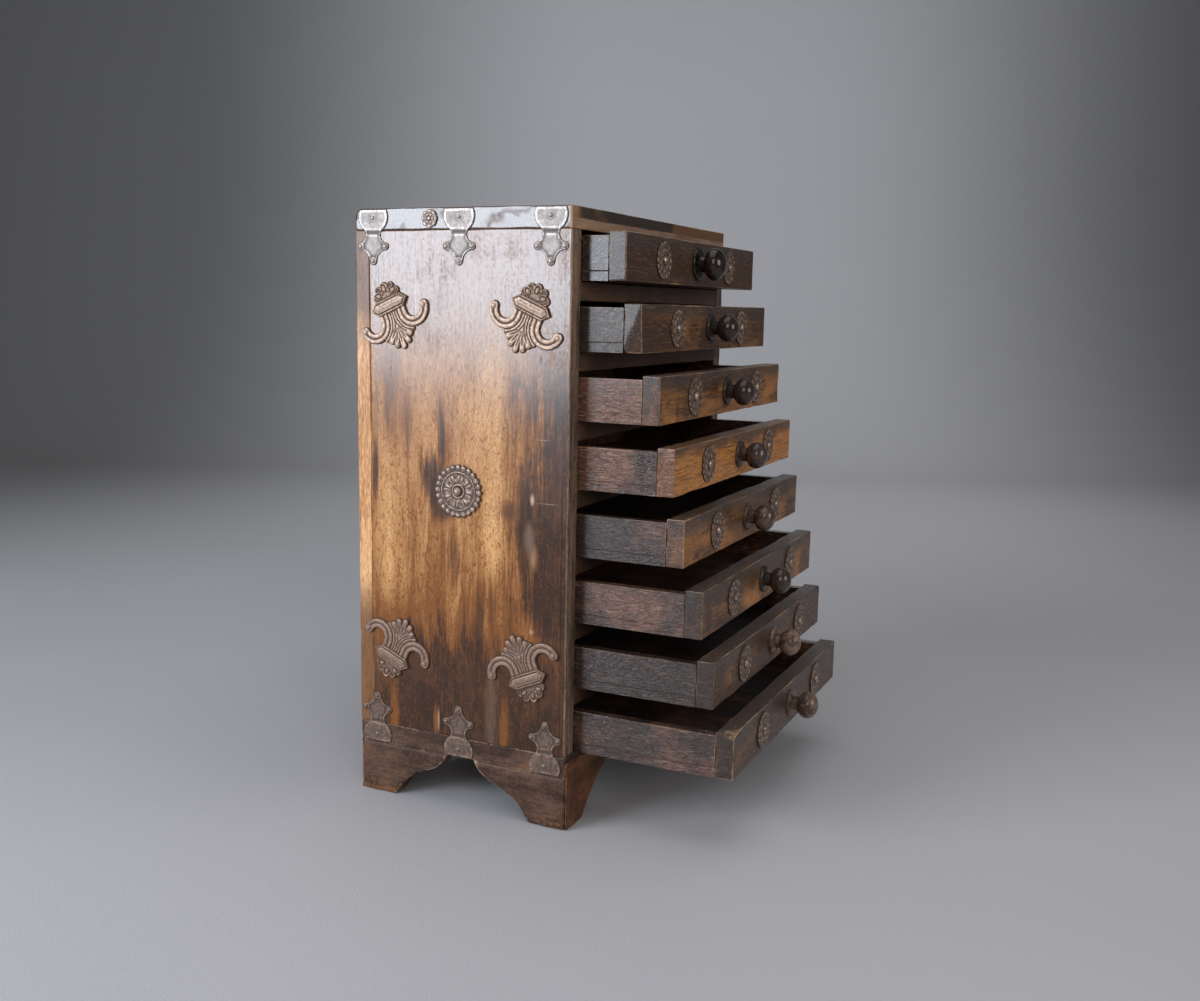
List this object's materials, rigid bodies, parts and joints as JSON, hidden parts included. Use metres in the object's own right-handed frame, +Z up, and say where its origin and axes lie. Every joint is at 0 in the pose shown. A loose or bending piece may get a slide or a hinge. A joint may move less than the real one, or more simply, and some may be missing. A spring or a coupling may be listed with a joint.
{
  "type": "miniature chest of drawers",
  "caption": "Narrow wooden table-top chest of shallow drawers on bracket feet, with stamped brass mounts, round knobs and rosettes, its drawers standing open in steps.",
  "frame": {"origin": "on the surface that the feet stand on, under the middle of the bounding box of the whole chest with its drawers open as stored; the case's own middle is 65 mm behind it", "axes": "+Z up; -Y out of the front, the way the drawers pull; +X to the right of someone facing the drawer fronts"},
  "size_m": [0.28, 0.29, 0.4],
  "materials": {
    "case_wood": "worn oil and shellac",
    "base_wood": "worn shellac",
    "drawer_front_wood": "worn shellac",
    "drawer_wood": "worn and stained",
    "inner_wood": "bare, aged",
    "knob_wood": "polished",
    "mount_brass": "tarnished stamping",
    "strap_brass": "dull, worn stamping",
    "pin_metal": "dull",
    "nail_iron": "oxidised"
  },
  "bodies": {
    "case": {"top_board": "case_wood", "bottom_board": "base_wood", "left_side_board": "case_wood", "right_side_board": "case_wood", "back_board": "case_wood", "drawer_rails": "inner_wood", "drawer_runners": "inner_wood", "base_front": "base_wood", "base_rear": "base_wood", "side_feet": "base_wood", "glue_blocks": "inner_wood", "top_straps": "strap_brass", "bottom_straps": "strap_brass", "strap_nails": "pin_metal", "left_plume_mounts": "mount_brass", "right_plume_mounts": "mount_brass", "mount_pins": "pin_metal", "side_medallions": "mount_brass", "band_rosettes": "mount_brass", "case_nails": "nail_iron"},
    "drawer_1": {"drawer_1_front": "drawer_front_wood", "drawer_1_walls": "drawer_wood", "drawer_1_bottom": "drawer_wood", "drawer_1_knob": "knob_wood", "drawer_1_rosettes": "mount_brass"},
    "drawer_2": {"drawer_2_front": "drawer_front_wood", "drawer_2_walls": "drawer_wood", "drawer_2_bottom": "drawer_wood", "drawer_2_knob": "knob_wood", "drawer_2_rosettes": "mount_brass"},
    "drawer_3": {"drawer_3_front": "drawer_front_wood", "drawer_3_walls": "drawer_wood", "drawer_3_bottom": "drawer_wood", "drawer_3_knob": "knob_wood", "drawer_3_rosettes": "mount_brass"},
    "drawer_4": {"drawer_4_front": "drawer_front_wood", "drawer_4_walls": "drawer_wood", "drawer_4_bottom": "drawer_wood", "drawer_4_knob": "knob_wood", "drawer_4_rosettes": "mount_brass"},
    "drawer_5": {"drawer_5_front": "drawer_front_wood", "drawer_5_walls": "drawer_wood", "drawer_5_bottom": "drawer_wood", "drawer_5_knob": "knob_wood", "drawer_5_rosettes": "mount_brass"},
    "drawer_6": {"drawer_6_front": "drawer_front_wood", "drawer_6_walls": "drawer_wood", "drawer_6_bottom": "drawer_wood", "drawer_6_knob": "knob_wood", "drawer_6_rosettes": "mount_brass"},
    "drawer_7": {"drawer_7_front": "drawer_front_wood", "drawer_7_walls": "drawer_wood", "drawer_7_bottom": "drawer_wood", "drawer_7_knob": "knob_wood", "drawer_7_rosettes": "mount_brass"},
    "drawer_8": {"drawer_8_front": "drawer_front_wood", "drawer_8_walls": "drawer_wood", "drawer_8_bottom": "drawer_wood", "drawer_8_knob": "knob_wood", "drawer_8_rosettes": "mount_brass"}
  },
  "joints": [
    {"name": "drawer_1_slide", "type": "slide", "parent": "case", "child": "drawer_1", "axis": [0, -1, 0], "range_m": [-0.03, 0.095]},
    {"name": "drawer_2_slide", "type": "slide", "parent": "case", "child": "drawer_2", "axis": [0, -1, 0], "range_m": [-0.041, 0.084]},
    {"name": "drawer_3_slide", "type": "slide", "parent": "case", "child": "drawer_3", "axis": [0, -1, 0], "range_m": [-0.0545, 0.0705]},
    {"name": "drawer_4_slide", "type": "slide", "parent": "case", "child": "drawer_4", "axis": [0, -1, 0], "range_m": [-0.0655, 0.0595]},
    {"name": "drawer_5_slide", "type": "slide", "parent": "case", "child": "drawer_5", "axis": [0, -1, 0], "range_m": [-0.073, 0.052]},
    {"name": "drawer_6_slide", "type": "slide", "parent": "case", "child": "drawer_6", "axis": [0, -1, 0], "range_m": [-0.0865, 0.0385]},
    {"name": "drawer_7_slide", "type": "slide", "parent": "case", "child": "drawer_7", "axis": [0, -1, 0], "range_m": [-0.0955, 0.0295]},
    {"name": "drawer_8_slide", "type": "slide", "parent": "case", "child": "drawer_8", "axis": [0, -1, 0], "range_m": [-0.11, 0.015]}
  ]
}
